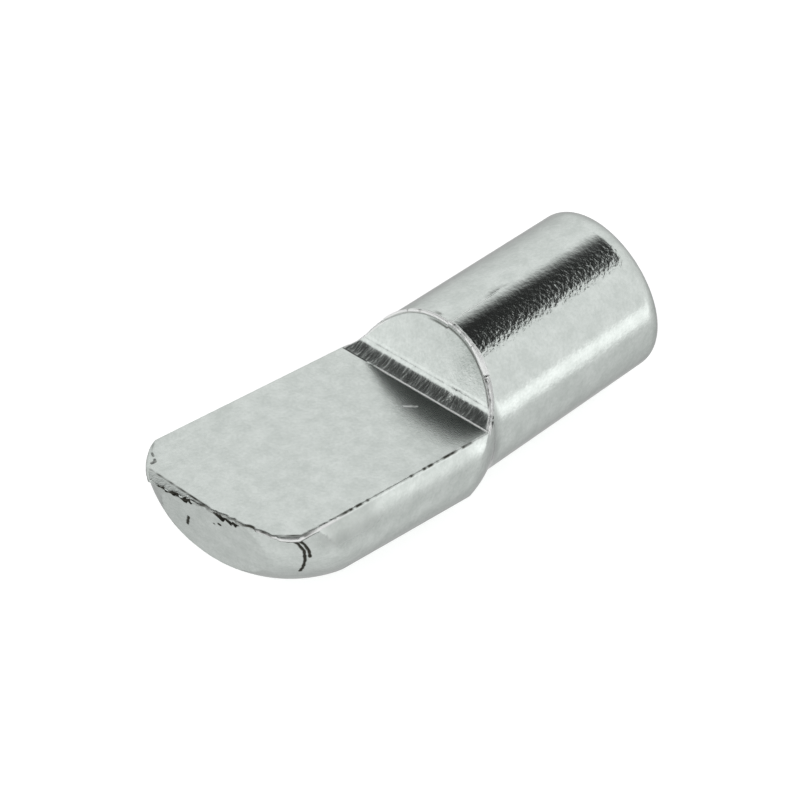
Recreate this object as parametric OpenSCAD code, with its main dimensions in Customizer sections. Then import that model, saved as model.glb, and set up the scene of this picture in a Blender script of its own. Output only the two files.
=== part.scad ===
// Shelf support pin, spoon type.
// One length of steel wire: the back half stays round as the peg, the front half is pressed
// into a spoon with a flat seat on top, bulged sides and a rounded belly.
// Origin: on the peg's axis, at the shoulder that stops it in its hole.
// The spoon points along +X, the seat is up.

/* [Peg] */
// Diameter of the peg, for a 5 mm shelf hole
peg_d = 5; // [4.8:0.1:5.4]
// Length of the peg on its axis, from the root of the step to its end
peg_len = 8.25; // [6:0.05:14]
// Radius of the rounded edge at the peg's end
peg_edge = 0.95; // [0.3:0.05:1.2]
// Slant of the cropped end in plan, in degrees
crop_yaw = 10; // [2:1:12]
// Slant of the cropped end in side view, in degrees
crop_rise = 10; // [2:1:12]

/* [Spoon] */
// Length of the seat, from the root of the step to the middle of the tip
spoon_len = 8.1; // [6:0.1:14]
// Greatest width, across the bulged sides
spoon_w = 5.85; // [5.65:0.05:6.2]
// Width of the flat seat
seat_w = 5.45; // [5.3:0.05:5.55]
// Height of the seat's root over the peg's axis
seat_z = 0.7; // [0.7:0.05:0.8]
// Depth of the belly below the peg's axis
belly_depth = 2.55; // [2.4:0.05:2.7]
// Upward slope of the spoon against the peg, in degrees
spoon_slope = 6.4; // [0:0.1:8]
// Distance behind the root at which the bulge leaves the peg's skin
shoulder_back = 0.6; // [0.4:0.1:1.2]

/* [Tip] */
// Skew of the sheared tip in plan, in degrees
tip_skew = 9.5; // [0:0.5:12]
// Undercut of the sheared tip against the spoon's square, in degrees
tip_undercut = 24; // [10:1:30]
// Radius of the tip's outward bow
tip_bow_r = 30; // [15:1:60]
// Radius of the round corner on the long side
long_corner_r = 2.6; // [1.5:0.1:3]
// Distance of that corner's centre behind the middle of the tip
long_corner_back = 2.1; // [1.6:0.1:2.6]
// Radius of the round corner on the short side
short_corner_r = 1.25; // [0.8:0.05:1.6]
// Distance of that corner's centre behind the middle of the tip
short_corner_back = 1.55; // [1.4:0.05:2]
// Thickness of the lip that the press squeezed out along the seat's edge
lip_h = 0.2; // [0.1:0.05:0.4]
// Radius of the ball shape that the wire's rounded end keeps below the lip
nose_r = 3.9; // [3.7:0.1:4.5]
// Distance of the ball's centre behind the tip
nose_back = 3.75; // [3.5:0.05:4]
// Distance of the ball's centre towards the long side
nose_aside = 0.45; // [0:0.05:0.6]
// Height of the ball's centre over the peg's axis
nose_z = 1.05; // [0.8:0.05:1.3]

/* [Step] */
// Lean of the step face away from upright, in degrees
step_lean = 21.5; // [5:0.5:35]
// Length of the hollow band between the seat and the step face
band_len = 0.5; // [0.3:0.05:0.8]
// Rise of the hollow band over that length
band_rise = 0.26; // [0.15:0.01:0.4]
// Radius of the hollow band
band_r = 1.2; // [0.8:0.1:3]

/* [Hidden] */
$fn = 96;
peg_r = peg_d / 2;
// Play that lets a round cross the face beside it at a fine edge
fine = 0.02;
// The spoon's section is an ellipse, cut by the seat above its middle
seat_share = sqrt(1 - pow(seat_w / spoon_w, 2));
belly_r = (belly_depth + seat_z) / (1 + seat_share);
belly_z = belly_r - belly_depth;
// The bulge grows out of the peg's skin behind the root, on a ball just larger than the section
bulge_r = sqrt(pow(spoon_w / 2, 2) + pow(belly_z, 2)) + fine;
bulge_x = sqrt(pow(bulge_r, 2) - pow(peg_r, 2)) - shoulder_back;
nose_x = spoon_len - nose_back;
// Whole slant of the cropped end
crop_tilt = acos(cos(crop_yaw) * cos(crop_rise));
// Reach of the cutting bodies beyond the part
reach = spoon_w;

// Waste outside a round corner, with the corner's centre at the origin
module corner_waste(r) {
    difference() {
        square(2 * r);
        circle(r);
    }
}

// Half outline of a rounded end: flat, round edge, then a wall that opens by flare degrees
module rounded_end(r, edge, flare, h) {
    edge_at = [r - edge * tan(45 - flare / 2), edge];
    polygon([[0, 0], [edge_at[0], 0], edge_at + edge * [cos(flare), -sin(flare)],
             [r + h * tan(flare), h], [0, h]]);
    translate(edge_at) circle(edge);
}

// Round wire, cropped at a slant and tumbled to a rounded edge
module peg() {
    long_side = peg_len + peg_r * tan(crop_tilt);
    intersection() {
        translate([-long_side, 0, 0])
            rotate([0, 90, 0]) rotate_extrude() rounded_end(peg_r, peg_edge, 0, long_side);
        translate([-peg_len, 0, 0])
            rotate([0, 90 + crop_rise, -crop_yaw])
                rotate_extrude()
                    rounded_end(peg_r / cos(crop_tilt) + fine, peg_edge, crop_tilt, long_side + reach);
    }
}

// Elliptic section of the spoon, run along its length
module spoon_bar() {
    translate([-reach, 0, 0])
        rotate([90, 0, 90])
            linear_extrude(spoon_len + 2 * reach)
                translate([0, belly_z]) scale([spoon_w / 2 / belly_r, 1]) circle(belly_r);
}

// Plan of the spoon, with a large and a small round corner at the tip
module spoon_plan() {
    difference() {
        translate([-reach, -reach]) square([spoon_len + 2 * reach, 2 * reach]);
        translate([spoon_len - long_corner_back, long_corner_r - spoon_w / 2 - fine])
            mirror([0, 1]) corner_waste(long_corner_r);
        translate([spoon_len - short_corner_back, spoon_w / 2 + fine - short_corner_r])
            corner_waste(short_corner_r);
    }
}

// Sheared end of the spoon, bowed, skewed and running under
module sheared_tip() {
    translate([spoon_len, 0, seat_z])
        rotate([0, tip_undercut, tip_skew])
            translate([-tip_bow_r, 0, -2 * reach]) cylinder(r = tip_bow_r, h = 4 * reach, $fn = 360);
}

// Pressed half of the wire, still without its seat
module spoon() {
    rotate([0, -spoon_slope, 0])
        intersection() {
            spoon_bar();
            translate([0, 0, -reach]) linear_extrude(2 * reach) spoon_plan();
            sheared_tip();
            // The bulge grows out of the peg on a ball
            union() {
                translate([bulge_x, 0, 0]) sphere(bulge_r);
                translate([bulge_x, -reach, -reach]) cube([spoon_len + reach, 2 * reach, 2 * reach]);
            }
            // The tip keeps the wire's rounded end, apart from the lip
            union() {
                translate([nose_x, -nose_aside, nose_z]) sphere(nose_r);
                translate([-reach, -reach, -reach]) cube([nose_x + reach, 2 * reach, 2 * reach]);
                translate([-reach, -reach, seat_z - lip_h]) cube([spoon_len + 2 * reach, 2 * reach, reach]);
            }
        }
}

// Press tool: flat for the seat, rounded nose for the hollow band, leaning step face, in side view
module press_tool() {
    band_top = [-band_len, seat_z + band_rise];
    chord = sqrt(pow(band_len, 2) + pow(band_rise, 2));
    chord_tilt = atan2(band_rise, band_len);
    band_centre = [-band_len / 2, seat_z + band_rise / 2]
        + sqrt(pow(band_r, 2) - pow(chord / 2, 2)) * [sin(chord_tilt), cos(chord_tilt)];
    far = spoon_len + reach;
    rotate([90, 0, 0])
        linear_extrude(4 * reach, center = true) {
            polygon([[0, seat_z], [far, seat_z + far * tan(spoon_slope)], [far, reach],
                     band_top + (reach - band_top[1]) * [-tan(step_lean), 1], band_top]);
            intersection() {
                polygon([[0, seat_z], band_top, band_top - [0, band_len + band_rise]]);
                translate(band_centre) circle(band_r);
            }
        }
}

// Peg and spoon are drawn from the root of the step, then moved to put the shoulder at the origin
module shelf_pin() {
    color("silver")
        translate([shoulder_back, 0, 0])
            difference() {
                union() {
                    peg();
                    spoon();
                }
                press_tool();
            }
}

shelf_pin();
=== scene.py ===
import math

import bmesh
import bpy
import numpy as np
from mathutils import Matrix, Vector


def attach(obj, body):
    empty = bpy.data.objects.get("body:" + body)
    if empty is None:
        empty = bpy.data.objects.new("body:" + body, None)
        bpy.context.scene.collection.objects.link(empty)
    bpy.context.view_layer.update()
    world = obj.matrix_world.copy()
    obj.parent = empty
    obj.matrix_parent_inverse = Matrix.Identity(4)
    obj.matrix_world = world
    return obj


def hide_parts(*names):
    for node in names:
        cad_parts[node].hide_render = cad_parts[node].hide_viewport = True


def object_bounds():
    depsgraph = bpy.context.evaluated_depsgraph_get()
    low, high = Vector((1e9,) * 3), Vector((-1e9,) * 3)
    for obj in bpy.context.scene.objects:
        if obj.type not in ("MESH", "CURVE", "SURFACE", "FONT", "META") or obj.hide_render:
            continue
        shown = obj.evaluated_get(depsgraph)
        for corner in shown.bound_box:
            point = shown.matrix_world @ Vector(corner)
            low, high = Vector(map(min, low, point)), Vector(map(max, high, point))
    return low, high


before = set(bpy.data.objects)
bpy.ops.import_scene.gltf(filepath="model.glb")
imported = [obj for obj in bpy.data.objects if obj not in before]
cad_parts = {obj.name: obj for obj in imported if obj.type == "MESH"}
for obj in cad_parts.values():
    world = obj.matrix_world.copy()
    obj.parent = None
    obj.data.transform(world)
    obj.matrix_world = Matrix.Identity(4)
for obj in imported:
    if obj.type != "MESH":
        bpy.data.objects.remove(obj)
cad_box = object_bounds()
scene = bpy.context.scene
scene.view_settings.view_transform = "Standard"
MM = 0.001


# Camera: a long lens, as for a product shot, looking down on the pin from its tip's right side.
# It is placed by its angles round the pin, the point it aims at and the distance between them.
camera_turn = math.radians(43.2)
camera_rise = math.radians(38.4)
camera_roll = math.radians(0.3)
camera_aim = Vector((0.735, -0.373, 0.198)) * MM
camera_distance = 73.45 * MM
camera_lens_mm = 121.5
camera_sensor_mm = 36.0
camera_near = 1 * MM
camera_far = 10

camera_data = bpy.data.cameras.new("camera")
camera_data.lens = camera_lens_mm
camera_data.sensor_width = camera_sensor_mm
camera_data.clip_start = camera_near
camera_data.clip_end = camera_far
camera = bpy.data.objects.new("camera", camera_data)
back = Vector((
    math.cos(camera_rise) * math.cos(camera_turn),
    math.cos(camera_rise) * math.sin(camera_turn),
    math.sin(camera_rise),
))
upright = (-back).to_track_quat("-Z", "Y").to_matrix()
roll = Matrix.Rotation(camera_roll, 3, "Z")
camera.matrix_world = Matrix.LocRotScale(camera_aim + back * camera_distance, upright @ roll, None)
scene.collection.objects.link(camera)
scene.camera = camera


# Pin: one length of nickel-plated steel wire. Its back half is the round peg, its front half was
# pressed into a spoon with a flat seat, bulged sides and a belly, and both ends are sheared.
# Sizes are in millimetres from the root of the step. A ramp's two numbers are where a mark fades.
root_x = 0.6
grain = 0.085
detail_reaches = (0.2, 0.1)
coarse_steps = 8
fine_steps = 6

# Round peg, with its cropped end and the faint imprint on its top
peg_radius = 2.5
peg_end = -8.33
peg_edge = 0.75
crop_yaw = math.radians(10)
crop_rise = math.radians(10)
imprint_end = -3.1
imprint_end_fade = 0.5
imprint_side = 0.25
imprint_side_fade = 0.03
imprint_far = -1.1
imprint_near = 0.2
imprint_depth = 0.045

# Pressed spoon, which grows out of the peg on a ball
seat_slope = math.radians(6.4)
seat_z = 0.7
spoon_length = 8.1
spoon_half_width = 2.925
belly_radius = 2.384
belly_z = -0.166
bulge_radius = 2.95
bulge_x = 0.966
shoulder_fillet = 0.12

# Sheared tip, with two round corners and a torn lip over the wire's ball-shaped end
tip_skew = math.radians(9.5)
tip_undercut = math.radians(24)
tip_bow = 30
long_corner_centre = (6.0, 0.345)
long_corner_radius = 2.6
short_corner_centre = (6.55, 1.695)
short_corner_radius = 1.25
lip_height = 0.2
lip_thinning = 0.45
lip_tear = 0.06
lip_groove_depth = 0.13
nose_radius = 3.9
nose_centre = (4.35, -0.45, 1.05)

# Step, with the hollow band at its root and a slightly hollow face
band_top = (-0.5, 0.96)
band_centre = (0.288, 1.865)
band_radius = 1.2
band_fillet = 0.06
root_groove = 0.024
face_centre = (6.601, 4.644)
face_radius = 8

# Edges: small rounds, the burr along the step's rim, and the lines where the seat's edge rolls off
edge_round = 0.035
front_round = 0.09
corner_round = 0.08
mark_round = 0.01
bead_radius = 0.06
bead_fillet = 0.03
roll_front = 8.01
roll_corner = (0.648, 0.762, 6.63)
roll_slope = math.radians(14)

# Damage: a crack of two branches beside the short corner, marks at the tip, pits and a scratch
crack = (
    ((6.76, 2.46, 1.0), (6.665, 2.515, 0.87), (6.55, 2.54, 0.61), (6.48, 2.5, 0.34)),
    ((6.93, 2.36, 1.02), (6.8, 2.405, 0.93), (6.65, 2.465, 0.63),
     (6.55, 2.39, 0.21), (6.485, 2.24, -0.16), (6.455, 2.095, -0.4)),
    ((7.76, -0.6, 0.64), (7.71, -0.7, 0.42), (7.66, -0.78, 0.23)),
    ((7.37, -2.33, 1.53), (7.43, -2.22, 1.535)),
    ((7.51, -2.08, 1.54), (7.56, -2.0, 1.55), (7.68, -2.0, 1.56)),
)
crack_radius = 0.04
pits = ((7.69, 0.49, 0.99, 0.05), (7.72, 0.3, 0.9, 0.03))
scratch = ((0.82, 0.4, 0.79), (0.55, 0.63, 0.76))
scratch_radius = 0.025


def meet(a, b, edge=0.0):
    """Where two solids overlap, with their shared edge rounded."""
    round_part = np.hypot(np.maximum(a + edge, 0), np.maximum(b + edge, 0))
    return np.minimum(np.maximum(a, b), -edge) + round_part


def join(a, b, fillet=0.0):
    """Two solids as one, with a fillet in the corner between them."""
    return -meet(-a, -b, fillet)


def ramp_up(value, low, high):
    """A soft step from 0 to 1."""
    share = np.clip((value - low) / (high - low), 0, 1)
    return share * share * (3 - 2 * share)


def ramp_down(value, low, high):
    """A soft step from 1 to 0."""
    return 1 - ramp_up(value, low, high)


def ragged(along, pitch, seed):
    """A torn line: a height between -1 and 1 that jumps about along an edge."""
    teeth = 400
    heights = np.random.default_rng(seed).uniform(-1, 1, teeth)
    return np.interp(along / pitch + teeth / 2, np.arange(teeth), heights)


def along_spoon(x, z):
    """Place along the spoon, and height square to its slope."""
    u = x * math.cos(seat_slope) + z * math.sin(seat_slope)
    w = z * math.cos(seat_slope) - x * math.sin(seat_slope)
    return u, w


def corner(u, v, centre, radius):
    """A round corner in plan, open towards the middle of the spoon."""
    du = np.maximum(u - centre[0], 0)
    dv = v - centre[1]
    beside = u - centre[0] - radius + 3 * dv
    return np.where(dv > 0, np.hypot(du, dv) - radius, beside)


def peg_gap(x, y, z):
    """Distance from the skin of the round wire, negative inside."""
    side = np.hypot(y, z) - peg_radius
    stamped = ramp_down(y - imprint_side, -imprint_side_fade, imprint_side_fade)
    stamped = stamped * ramp_up(x - imprint_end, -imprint_end_fade, imprint_end_fade)
    fading = np.clip((y - imprint_far) / (imprint_near - imprint_far), 0, 1) * ramp_up(z, 1.5, 2.0)
    side = side + imprint_depth * stamped * fading
    out_x = -math.cos(crop_rise) * math.cos(crop_yaw)
    out_y = math.cos(crop_rise) * math.sin(crop_yaw)
    out_z = math.sin(crop_rise)
    end = (x - peg_end) * out_x + y * out_y + z * out_z
    return meet(meet(side, end, peg_edge), x)


def tip_gap(u, y, w):
    """Distance from the sheared tip, with the lip that the press squeezed out above it."""
    front = (u - spoon_length) * math.cos(tip_skew) + y * math.sin(tip_skew)
    across = y * math.cos(tip_skew) - (u - spoon_length) * math.sin(tip_skew)
    outward = front * math.cos(tip_undercut) - (w - seat_z) * math.sin(tip_undercut)
    sheared = np.hypot(outward + tip_bow, across) - tip_bow
    lip = ramp_up(w, seat_z - 0.75 * lip_height, seat_z - 0.5 * lip_height)
    return sheared - lip_tear * lip * (0.4 + 0.6 * ragged(y, 0.11, 3))


def lip_under(y):
    """Height of the lip's underside. The lip is thinner on the short side."""
    return seat_z - lip_height * (1 - lip_thinning * ramp_up(y, 1.1, 1.7))


def lip_groove(u, y, w):
    """Distance from the torn groove under the lip, which comes and goes along the tip."""
    long_tear = ramp_up(y, -1.5, -1.1) * ramp_down(y, -0.3, 0.0)
    short_tear = ramp_up(y, 0.35, 0.55) * ramp_down(y, 1.0, 1.25)
    depth = lip_groove_depth * (long_tear + short_tear) * (0.7 + 0.5 * ragged(y, 0.07, 5)) - 0.01
    drop = 0.95 - 0.35 * ramp_down(y, -0.9, -0.2) + 0.35 * ragged(y, 0.13, 8)
    return np.hypot(tip_gap(u, y, w) - 0.01, w - seat_z + lip_height * drop) - depth


def spoon_gap(x, y, z):
    """Distance from the skin of the pressed half, before its seat is cut."""
    u, w = along_spoon(x, z)
    over_belly = w - belly_z
    near = np.hypot(y / spoon_half_width, over_belly / belly_radius)
    steep = np.hypot(y / spoon_half_width**2, over_belly / belly_radius**2)
    bar = near * (near - 1) / np.maximum(steep, 1e-6)
    bulge = np.minimum(np.sqrt((u - bulge_x) ** 2 + y**2 + w**2) - bulge_radius, bulge_x - u)
    long_corner = corner(u, -y, long_corner_centre, long_corner_radius)
    short_corner = corner(u, y, short_corner_centre, short_corner_radius)
    nose_u, nose_y, nose_w = nose_centre
    ball = np.sqrt((u - nose_u) ** 2 + (y - nose_y) ** 2 + (w - nose_w) ** 2) - nose_radius
    nose = np.minimum(np.minimum(ball, u - nose_u), lip_under(y) - w)
    spoon = meet(meet(bar, bulge), meet(tip_gap(u, y, w), nose))
    spoon = meet(spoon, meet(long_corner, short_corner))
    return meet(spoon, -lip_groove(u, y, w))


def wire_gap(x, y, z, fillet=0.0):
    """Distance from the skin of peg and spoon together, before the seat is cut."""
    return join(peg_gap(x, y, z), spoon_gap(x, y, z), fillet)


def press_gap(x, y, z):
    """Distance from the press tool: seat, hollow band and step face."""
    seat = x * math.sin(seat_slope) - (z - seat_z) * math.cos(seat_slope)
    band_rise = band_top[1] - seat_z
    chord = (-x * band_rise + (z - seat_z) * band_top[0]) / math.hypot(band_top[0], band_rise)
    hollow = np.hypot(x - band_centre[0], z - band_centre[1]) - band_radius
    face = np.hypot(x - face_centre[0], z - face_centre[1]) - face_radius
    tool = meet(meet(seat, np.minimum(chord, hollow), mark_round), face, band_fillet)
    groove = np.hypot(x, z - seat_z) - root_groove * ramp_up(y, -2.0, -1.2)
    return np.minimum(tool, groove)


def roll_off(u, y):
    """How far a place lies beyond the line, in plan, where the seat's edge rolls off."""
    cut_corner = roll_corner[0] * u + roll_corner[1] * y - roll_corner[2]
    return np.maximum(u - roll_front, cut_corner)


def line_gap(points, start, end):
    """Distance of points from a straight piece of a line."""
    line = np.subtract(end, start)
    share = np.clip((points - start) @ line / (line @ line), 0, 1)
    return np.linalg.norm(points - start - share[:, None] * line, axis=1)


def scratch_gap(points):
    """Distance from the scratch across the seat, near the step."""
    width = scratch_radius * (0.55 + 0.7 * ragged(points[:, 1], 0.045, 71))
    return line_gap(points, *scratch) - width


def crack_gap(points):
    """Distance from the crack and the marks at the tip, and from the pits in it."""
    width = crack_radius * (0.8 + 0.3 * ragged(points[:, 2], 0.08, 11))
    gaps = []
    for branch in crack:
        for start, end in zip(branch[:-1], branch[1:]):
            gaps.append(line_gap(points, start, end) - width)
    for pit_x, pit_y, pit_z, pit_radius in pits:
        gaps.append(np.linalg.norm(points - (pit_x, pit_y, pit_z), axis=1) - pit_radius)
    return np.minimum.reduce(gaps)


def pin_gap(skin):
    """Distance from the skin of the whole pin, negative inside."""
    points = skin - (root_x, 0, 0)
    x, y, z = points.T
    u, w = along_spoon(x, z)
    wire = wire_gap(x, y, z, shoulder_fillet)
    press = press_gap(x, y, z)
    at_corner = ramp_up(x, 5.0, 6.8) * ramp_up(y, 1.2, 1.9)
    at_front = ramp_up(x, 7.2, 7.5)
    rim = edge_round + (front_round - edge_round) * at_front
    rim = rim + (corner_round - rim) * at_corner
    rim = rim * (1 + (0.1 + 0.1 * ramp_up(x, 0, 1)) * ragged(x + y, 0.12, 17))
    part = meet(wire, -press, rim)
    bead = bead_radius * ramp_down(x, -0.3, -0.02) * (1 + 0.06 * ragged(y, 0.15, 21))
    bead = bead * (0.75 + 0.6 * ramp_up(y, 0.8, 1.6))
    ridge = np.hypot(wire + 0.01, press - 0.02) - bead
    part = np.where(x < 0, join(part, ridge, bead_fillet), part)
    rolled = (w - seat_z) * math.cos(roll_slope) + roll_off(u, y) * math.sin(roll_slope)
    part = np.where(x > 3, meet(part, rolled, mark_round), part)
    part = meet(part, -scratch_gap(points), mark_round)
    return meet(part, -crack_gap(points), mark_round)


def slope_of(gap, points, step=0.004):
    """Direction and steepness in which a distance grows."""
    slopes = []
    for axis in range(3):
        shift = np.zeros(3)
        shift[axis] = step
        slopes.append((gap(points + shift) - gap(points - shift)) / (2 * step))
    return np.stack(slopes, axis=1)


def place_verts(mesh, places):
    """Put each point of a mesh in its place."""
    for vert, place in zip(mesh.verts, places):
        vert.co = place


def settle(mesh, steps, longest):
    """Move a mesh's points onto the skin of the pin, and give their places."""
    skin = np.array([v.co for v in mesh.verts])
    for _ in range(steps):
        slope = slope_of(pin_gap, skin)
        reach = pin_gap(skin) / np.maximum((slope**2).sum(axis=1), 0.25)
        skin = skin - slope * np.clip(reach, -longest, longest)[:, None]
    place_verts(mesh, skin)
    return skin


def near_detail(skin, reach):
    """True for points close to an edge, a line or a mark."""
    points = skin - (root_x, 0, 0)
    x, y, z = points.T
    u, w = along_spoon(x, z)
    rim = np.hypot(wire_gap(x, y, z), press_gap(x, y, z)) < reach
    root = np.hypot(x, z - seat_z) < reach
    ledge = np.hypot(x - band_top[0], z - band_top[1]) < reach
    lip = (np.abs(tip_gap(u, y, w)) < reach) & (w > seat_z - 2 * lip_height)
    marks = np.minimum(crack_gap(points), scratch_gap(points)) < reach
    top = (z > 2.3) & (x > imprint_end - reach) & (x < -0.8)
    stamp = top & (np.abs(y - imprint_side) < reach)
    stamp_end = top & (np.abs(x - imprint_end) < reach) & (np.abs(y) < 0.6)
    rolled = (np.abs(roll_off(u, y)) < reach) & (np.abs(w - seat_z) < reach) & (x > 5)
    return rim | root | ledge | lip | marks | stamp | stamp_end | rolled


# The CAD solid gets an even grid, which is drawn onto the exact skin and made finer at its details.
pin_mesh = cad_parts["shelf_pin"].data.copy()
pin_mesh.name = "pin"
pin_mesh.materials.clear()
blank = bmesh.new()
blank.from_mesh(pin_mesh)
bmesh.ops.scale(blank, vec=(1 / MM, 1 / MM, 1 / MM), verts=blank.verts)
bmesh.ops.remove_doubles(blank, verts=blank.verts, dist=1e-4)
blank.to_mesh(pin_mesh)
blank.free()
pin = bpy.data.objects.new("pin", pin_mesh)
scene.collection.objects.link(pin)
remesh = pin.modifiers.new("even grid", "REMESH")
remesh.mode = "VOXEL"
remesh.voxel_size = grain
graph = bpy.context.evaluated_depsgraph_get()
pin.data = bpy.data.meshes.new_from_object(pin.evaluated_get(graph))
pin.modifiers.clear()

work = bmesh.new()
work.from_mesh(pin.data)
skin = settle(work, coarse_steps, grain)
for reach in detail_reaches:
    fine = near_detail(skin, reach)
    work.verts.index_update()
    split = [e for e in work.edges if fine[e.verts[0].index] or fine[e.verts[1].index]]
    bmesh.ops.subdivide_edges(work, edges=split, cuts=1, use_grid_fill=True)
    settle(work, fine_steps, grain / 2)
    bmesh.ops.smooth_vert(
        work, verts=work.verts, factor=0.5, use_axis_x=True, use_axis_y=True, use_axis_z=True,
    )
    skin = settle(work, fine_steps, grain / 2)
place_verts(work, skin * MM)
bmesh.ops.triangulate(work, faces=[f for f in work.faces if len(f.verts) > 4])
work.to_mesh(pin.data)
work.free()
pin.data.polygons.foreach_set("use_smooth", np.ones(len(pin.data.polygons), bool))
facing = slope_of(pin_gap, skin)
facing /= np.maximum(np.linalg.norm(facing, axis=1), 1e-6)[:, None]
pin.data.normals_split_custom_set_from_vertices(facing)

# Each finish is painted on the mesh as a share, by where a point lies on the pin.
points = skin - (root_x, 0, 0)
x, y, z = points.T
u, w = along_spoon(x, z)
wire = wire_gap(x, y, z)
press = press_gap(x, y, z)
to_edge = np.hypot(wire, press)
past_roll = roll_off(u, y)
below_seat = seat_z - w


def patchy(base, swing, along, pitch, seed):
    """A share that comes and goes along an edge."""
    return np.clip(base + swing * ragged(along, pitch, seed), 0, 1)


# Satin: the pressed seat, the step face and the spoon's sides
seat_off = np.abs((z - seat_z) * math.cos(seat_slope) - x * math.sin(seat_slope))
on_seat = ramp_down(seat_off, 0.004, 0.02) * ramp_up(x, 0.0, 0.02)
face_off = np.abs(np.hypot(x - face_centre[0], z - face_centre[1]) - face_radius)
on_face = ramp_down(face_off, 0.01, 0.04) * ramp_up(z, 0.95, 1.05)
on_sides = ramp_up(x, 0.2, 0.9) * ramp_up(below_seat, 0.03, 0.1)
is_satin = np.maximum.reduce([on_seat, 0.7 * on_face, 0.9 * on_sides])

# Press marks: streaks in the hollow band
band_off = np.abs(np.hypot(x - band_centre[0], z - band_centre[1]) - band_radius)
on_band = ramp_down(band_off, 0.01, 0.04) * ramp_down(x, -0.02, 0.01)
on_band *= ramp_up(x, -0.65, -0.45) * ramp_up(z, 0.5, 0.6)

# Dirt and painted shade. Dirt along the seat's edges, on the sides and on the peg by the step's rim;
# painted shade together with dirt in the crack and the torn groove; painted shade under the lip, just
# inside the step's rim, and along the tops of the sides, where it dulls their reflection
# Painted shade and dirt: the crack, its pits and the torn groove under the lip are darkened
torn_shade_and_dirt = ramp_down(np.minimum(crack_gap(points), lip_groove(u, y, w)), 0.0, 0.025)
edge_dirt = ramp_down(to_edge, 0.03, 0.085) * ramp_up(x, 6.3, 6.9) * (0.75 + 0.4 * ragged(y - x, 0.17, 31))
edge_dirt *= 1 - 0.75 * ramp_down(y, -0.4, 0.1)
edge_dirt *= 1 - 0.9 * ramp_up(past_roll, -0.02, 0.03) * ramp_up(y, 1.6, 1.8)
edge_dirt = np.clip(edge_dirt, 0, 1)
roll_dirt = ramp_down(np.abs(past_roll), 0.012, 0.05) * ramp_down(np.abs(below_seat), 0.02, 0.05)
roll_dirt *= patchy(0.45 + 0.2 * ramp_up(y, -1.2, -0.8), 0.4, y, 0.15, 51) * ramp_up(x, 6.4, 6.6)
roll_dirt *= 1 - ramp_up(y, 0.3, 0.5) * ramp_down(y, 1.7, 1.9)
near_step = 0.6 * ramp_up(x, 0.3, 0.6) * ramp_down(x, 3.0, 3.2)
near_tip = 0.8 * ramp_up(x, 4.1, 4.4) * ramp_down(x, 5.6, 5.9)
side_share = 0.2 + near_step + near_tip
side_dirt = ramp_down(to_edge, 0.02, 0.055) * patchy(0.6 * side_share, 1.2 * side_share, x, 0.1, 61)
side_dirt *= ramp_up(y, 2.0, 2.2) * ramp_up(x, 0.1, 0.4) * ramp_down(x, 6.3, 6.6)
far_dirt = ramp_down(to_edge, 0.05, 0.13) * ramp_down(y, -2.0, -1.8) * ramp_up(x, 6.8, 7.1)
far_dirt *= patchy(0.3, 0.9, x - y, 0.1, 81)
# Painted shade: a thin dark line along the lip's underside on the short side
lip_shade = ramp_down(np.abs(lip_under(y) - 0.02 - w), 0.02, 0.06)
lip_shade *= ramp_up(y, 2.15, 2.3) * ramp_up(x, 6.4, 6.6)
# Painted shade: a dark line on the step face just inside its rim
rim_shade = 0.75 * ramp_down(np.abs(wire + 0.125), 0.01, 0.05) * on_face * ramp_up(y, -0.6, -0.1)
smudge = ramp_down(np.abs(press - 0.15), 0.02, 0.07) * ramp_down(x, -0.8, -0.6) * ramp_up(z, 1.5, 1.8)
smudge *= patchy(0.2, 0.9, y, 0.22, 41) * ramp_up(y, -1.5, -1.2) * ramp_down(y, 0.0, 0.3)
dirt_and_shade_share = np.maximum.reduce([
    torn_shade_and_dirt, edge_dirt, roll_dirt, side_dirt, far_dirt, lip_shade, rim_shade, smudge,
])
dirt_and_shade_share *= 1 - 0.45 * ramp_down(y, -1.9, -1.8)
# Painted shade: the upper part of the spoon's sides is darkened, most towards the tip, to dull their
# reflection
side_shade = 0.1 + 0.16 * ramp_up(x, 4.0, 4.8) * ramp_down(x, 6.1, 6.5)
side_shade *= ramp_up(w, -0.4, 0.3) * ramp_up(below_seat, 0.03, 0.1)
side_shade *= ramp_up(y, 2.0, 2.2) * ramp_up(x, 0.5, 1.0)
dirt_and_shade_share = np.maximum(dirt_and_shade_share, side_shade)

# Worn and painted highlight: bare bright lines at the imprint, the root, the lip and the scratch,
# and a painted highlight along the step's rim
stamp_line = ramp_down(np.abs(y - imprint_side), 0.0, 0.05) * ramp_up(x, -2.8, -2.6) * ramp_up(z, 2.0, 2.2)
# Painted highlight: a bright line along the step's rim, widest on its right side
rim_highlight = ramp_down(to_edge - 0.05 * ramp_up(y, 0.9, 1.5), 0.05, 0.09) * ramp_down(x, -0.1, 0.0)
root_line = ramp_down(np.hypot(x, z - seat_z), 0.02, 0.04) * ramp_up(y, -1.6, -1.0)
lip_line = ramp_up(w - lip_under(y), 0.0, 0.03) * ramp_down(w, 0.66, 0.69)
lip_line *= ramp_up(y, 1.5, 1.8) * ramp_up(x, 4.9, 6.3)
scratch_line = 0.6 * ramp_down(scratch_gap(points), 0.0, 0.05)
worn_and_highlight_share = np.maximum.reduce([stamp_line, rim_highlight, root_line, lip_line, scratch_line])

# Grain: how strong the orange-peel skin is, strongest along the right side of the peg's top
is_grainy = 0.3 + 1.3 * ramp_up(y, 0.7, 1.1) - 1.0 * ramp_up(y, 1.35, 1.8)

finishes = {
    "satin": is_satin,
    "press_marks": on_band,
    "dirt_and_shade": dirt_and_shade_share,
    "worn_and_highlight": worn_and_highlight_share,
    "grainy": is_grainy,
}
for name, shares in finishes.items():
    layer = pin.data.attributes.new(name, "FLOAT", "POINT")
    layer.data.foreach_set("value", shares.astype(np.float32))
pin.data.update()

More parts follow.
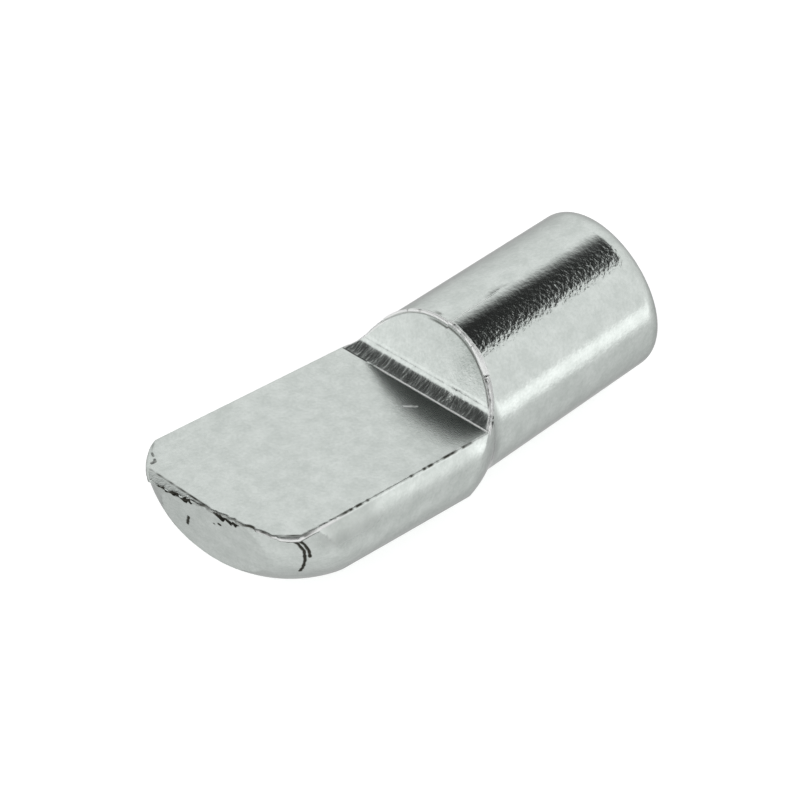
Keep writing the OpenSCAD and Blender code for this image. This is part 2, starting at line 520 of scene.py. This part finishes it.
# Nickel plate: a greenish grey metal with a cloudy tone and a fine orange-peel skin.
tone_dark = (0.56, 0.60, 0.575)
tone_light = (0.67, 0.71, 0.685)
tone_spread = (0.36, 0.64)
# The light colour is worn metal and also a painted highlight
worn_and_highlight_colour = (0.86, 0.87, 0.86)
# The dark colour is dirt and also painted shade
dirt_and_shade_colour = (0.06, 0.06, 0.05)
edge_tint = (0.55, 0.55, 0.55)
bump_depth = 0.012 * MM
peel_depth = 0.75
streak_depth = 1.8
speckle_depth = 0.15
plate_roughness = 0.09
satin_roughness = 0.15
streak_roughness = 0.14
dirt_and_shade_roughness = 0.4
worn_and_highlight_roughness = 0.4

nickel = bpy.data.materials.new("nickel_plate")
nickel.use_nodes = True
plate = nickel.node_tree
shader = plate.nodes["Principled BSDF"]
where = plate.nodes.new("ShaderNodeTexCoord")


def node_math(tree, operation, *values):
    """One value of a node tree from others."""
    step = tree.nodes.new("ShaderNodeMath")
    step.operation = operation
    for socket, value in zip(step.inputs, values):
        if isinstance(value, (int, float)):
            socket.default_value = value
        else:
            tree.links.new(value, socket)
    return step.outputs["Value"]


def cloud(scale, detail, stretch=(1, 1, 1)):
    """A cloudy pattern, with its scale counted per millimetre."""
    place = plate.nodes.new("ShaderNodeMapping")
    place.inputs["Scale"].default_value = [share / MM for share in stretch]
    plate.links.new(where.outputs["Object"], place.inputs["Vector"])
    noise = plate.nodes.new("ShaderNodeTexNoise")
    noise.inputs["Scale"].default_value = scale
    noise.inputs["Detail"].default_value = detail
    plate.links.new(place.outputs["Vector"], noise.inputs["Vector"])
    return noise.outputs["Fac"]


def painted(name):
    """A share painted on the mesh."""
    layer = plate.nodes.new("ShaderNodeAttribute")
    layer.attribute_name = name
    return layer.outputs["Fac"]


def laid_over(below, colour, share):
    """A colour laid over another one by a share."""
    mix = plate.nodes.new("ShaderNodeMix")
    mix.data_type = "RGBA"
    mix.inputs["B"].default_value = (*colour, 1)
    plate.links.new(share, mix.inputs["Factor"])
    plate.links.new(below, mix.inputs["A"])
    return mix.outputs["Result"]


satin = painted("satin")
press_marks = painted("press_marks")
dirt_and_shade = painted("dirt_and_shade")
worn_and_highlight = painted("worn_and_highlight")
shiny = node_math(plate, "SUBTRACT", 1, satin)
peel = node_math(plate, "MULTIPLY", cloud(8, 3), shiny)
peel = node_math(plate, "MULTIPLY", peel, painted("grainy"))
broad_streaks = cloud(1, 4, (1.2, 2.6, 1.2))
fine_streaks = cloud(1, 3, (1.8, 8, 1.8))
streaks = node_math(plate, "MULTIPLY_ADD", fine_streaks, 0.45, broad_streaks)
streaks = node_math(plate, "MULTIPLY", streaks, press_marks)
speckle = node_math(plate, "MULTIPLY", cloud(16, 2), satin)
relief = node_math(plate, "MULTIPLY", peel, peel_depth)
relief = node_math(plate, "MULTIPLY_ADD", streaks, streak_depth, relief)
relief = node_math(plate, "MULTIPLY_ADD", speckle, speckle_depth, relief)
bump = plate.nodes.new("ShaderNodeBump")
bump.inputs["Strength"].default_value = 1
bump.inputs["Distance"].default_value = bump_depth
plate.links.new(relief, bump.inputs["Height"])
plate.links.new(bump.outputs["Normal"], shader.inputs["Normal"])

tone = plate.nodes.new("ShaderNodeValToRGB")
for stop, place, colour in zip(tone.color_ramp.elements, tone_spread, (tone_dark, tone_light)):
    stop.position = place
    stop.color = (*colour, 1)
mottle = node_math(plate, "MULTIPLY", cloud(2.2, 3), 0.6)
mottle = node_math(plate, "MULTIPLY_ADD", cloud(11, 2), 0.4, mottle)
plate.links.new(mottle, tone.inputs["Fac"])
# Worn lines and the painted highlight on the rim lighten the plate
rubbed_and_lit = laid_over(tone.outputs["Color"], worn_and_highlight_colour, worn_and_highlight)
# Dirt and painted shade darken the plate
soiled_and_shaded = laid_over(rubbed_and_lit, dirt_and_shade_colour, dirt_and_shade)
plate.links.new(soiled_and_shaded, shader.inputs["Base Color"])

rough = node_math(plate, "MULTIPLY_ADD", satin, satin_roughness, plate_roughness)
rough = node_math(plate, "MULTIPLY_ADD", press_marks, streak_roughness, rough)
rough = node_math(plate, "MULTIPLY_ADD", dirt_and_shade, dirt_and_shade_roughness, rough)
rough = node_math(plate, "MULTIPLY_ADD", worn_and_highlight, worn_and_highlight_roughness, rough)
plate.links.new(rough, shader.inputs["Roughness"])
shader.inputs["Metallic"].default_value = 1
shader.inputs["Specular Tint"].default_value = (*edge_tint, 1)
pin.data.materials.append(nickel)
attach(pin, "root")
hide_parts("shelf_pin")


# Floor: a wide table top of white paper under the pin. It shows white to the camera, keeps the
# pin's soft shadow, and leaves the reflections in the plate to the light tent.
floor_size = 4.0
floor_z = cad_box[0].z
paper_colour = (0.8, 0.8, 0.8)
paper_roughness = 0.9
paper_glow = 0.55

floor_mesh = bpy.data.meshes.new("floor")
ground = bmesh.new()
bmesh.ops.create_grid(ground, x_segments=1, y_segments=1, size=floor_size / 2)
bmesh.ops.translate(ground, vec=(0, 0, floor_z), verts=ground.verts)
ground.to_mesh(floor_mesh)
ground.free()
floor = bpy.data.objects.new("floor", floor_mesh)
scene.collection.objects.link(floor)
paper = bpy.data.materials.new("white_paper")
paper.use_nodes = True
sheet = paper.node_tree.nodes["Principled BSDF"]
sheet.inputs["Base Color"].default_value = (*paper_colour, 1)
sheet.inputs["Roughness"].default_value = paper_roughness
sheet.inputs["Emission Color"].default_value = (1, 1, 1, 1)
sheet.inputs["Emission Strength"].default_value = paper_glow
floor.data.materials.append(paper)
floor.visible_glossy = False


# Light: a white tent all round, as round a polished small part, with a dark oblong opening overhead
# and a round lamp in it. The wall is brightest low on the right, and the table is a little darker.
# Places overhead are counted sideways from straight up, as shares of the height. The camera sees white.
opening_centre = (-0.17, -0.2)
opening_half_length = 1.08
opening_half_width = 0.6
opening_turn = math.radians(-35)
opening_soft = 0.28
opening_sharp = 0.06
opening_level = 0.03
lamp_centre = (-0.2, 0.02)
lamp_radius = 0.3
lamp_soft = 0.08
lamp_level = 0.85
strip_gain = 0.42
glare_way = (0.72, -0.5, 0.48)
glare_gain = 0.2
table_level = 0.82
under_gain = 0.1

tent = bpy.data.worlds.new("light_tent")
tent.use_nodes = True
scene.world = tent
sky = tent.node_tree
sky.nodes.clear()


def sky_ramp(value, low, high, at_low=0.0, at_high=1.0):
    """A soft step of a value, from one level to another."""
    step = sky.nodes.new("ShaderNodeMapRange")
    step.interpolation_type = "SMOOTHSTEP"
    step.inputs["From Min"].default_value = low
    step.inputs["From Max"].default_value = high
    step.inputs["To Min"].default_value = at_low
    step.inputs["To Max"].default_value = at_high
    sky.links.new(value, step.inputs["Value"])
    return step.outputs["Result"]


way = sky.nodes.new("ShaderNodeTexCoord")
parts = sky.nodes.new("ShaderNodeSeparateXYZ")
sky.links.new(way.outputs["Generated"], parts.inputs["Vector"])
rise = parts.outputs["Z"]
height = node_math(sky, "MAXIMUM", rise, 0.01)
overhead = sky.nodes.new("ShaderNodeCombineXYZ")
sky.links.new(node_math(sky, "DIVIDE", parts.outputs["X"], height), overhead.inputs["X"])
sky.links.new(node_math(sky, "DIVIDE", parts.outputs["Y"], height), overhead.inputs["Y"])

opening = sky.nodes.new("ShaderNodeMapping")
opening.vector_type = "TEXTURE"
opening.inputs["Location"].default_value = (*opening_centre, 0)
opening.inputs["Rotation"].default_value = (0, 0, opening_turn)
opening.inputs["Scale"].default_value = (opening_half_length, opening_half_width, 1)
sky.links.new(overhead.outputs["Vector"], opening.inputs["Vector"])
out_by = sky.nodes.new("ShaderNodeVectorMath")
out_by.operation = "LENGTH"
sky.links.new(opening.outputs["Vector"], out_by.inputs[0])
beside = sky.nodes.new("ShaderNodeSeparateXYZ")
sky.links.new(opening.outputs["Vector"], beside.inputs["Vector"])
soft_wall = sky_ramp(out_by.outputs["Value"], 1 - opening_soft, 1 + opening_soft, opening_level, 1)
sharp_wall = sky_ramp(out_by.outputs["Value"], 1 - opening_sharp, 1 + opening_sharp, opening_level, 1)
blend = sky.nodes.new("ShaderNodeMix")
sky.links.new(sky_ramp(beside.outputs["Y"], -0.3, 0.5), blend.inputs["Factor"])
sky.links.new(soft_wall, blend.inputs["A"])
sky.links.new(sharp_wall, blend.inputs["B"])

lamp_off = sky.nodes.new("ShaderNodeVectorMath")
lamp_off.operation = "DISTANCE"
lamp_off.inputs[1].default_value = (*lamp_centre, 0)
sky.links.new(overhead.outputs["Vector"], lamp_off.inputs[0])
lamp = sky_ramp(lamp_off.outputs["Value"], lamp_radius - lamp_soft, lamp_radius + lamp_soft, lamp_level, 0)
wall = node_math(sky, "MAXIMUM", blend.outputs["Result"], lamp)

table = sky_ramp(rise, -0.15, -0.5, 1, table_level)
table = node_math(sky, "ADD", table, sky_ramp(rise, -0.6, -0.9, 0, under_gain))
strip = node_math(sky, "MULTIPLY", sky_ramp(rise, -0.46, -0.26), sky_ramp(rise, 0.0, -0.17))
strip = node_math(sky, "MULTIPLY", strip, sky_ramp(parts.outputs["Y"], 0.3, 0.7))
towards = sky.nodes.new("ShaderNodeVectorMath")
towards.operation = "DOT_PRODUCT"
towards.inputs[1].default_value = glare_way
sky.links.new(way.outputs["Generated"], towards.inputs[0])
glare = sky_ramp(towards.outputs["Value"], 0.85, 0.98, 0, glare_gain)
level = node_math(sky, "MULTIPLY", wall, table)
level = node_math(sky, "MULTIPLY_ADD", strip, strip_gain, level)
level = node_math(sky, "MULTIPLY_ADD", glare, wall, level)

path = sky.nodes.new("ShaderNodeLightPath")
seen = sky.nodes.new("ShaderNodeMix")
sky.links.new(path.outputs["Is Camera Ray"], seen.inputs["Factor"])
sky.links.new(level, seen.inputs["A"])
seen.inputs["B"].default_value = 1
glow = sky.nodes.new("ShaderNodeBackground")
glow.inputs["Color"].default_value = (1, 1, 1, 1)
sky.links.new(seen.outputs["Result"], glow.inputs["Strength"])
world_out = sky.nodes.new("ShaderNodeOutputWorld")
sky.links.new(glow.outputs["Background"], world_out.inputs["Surface"])
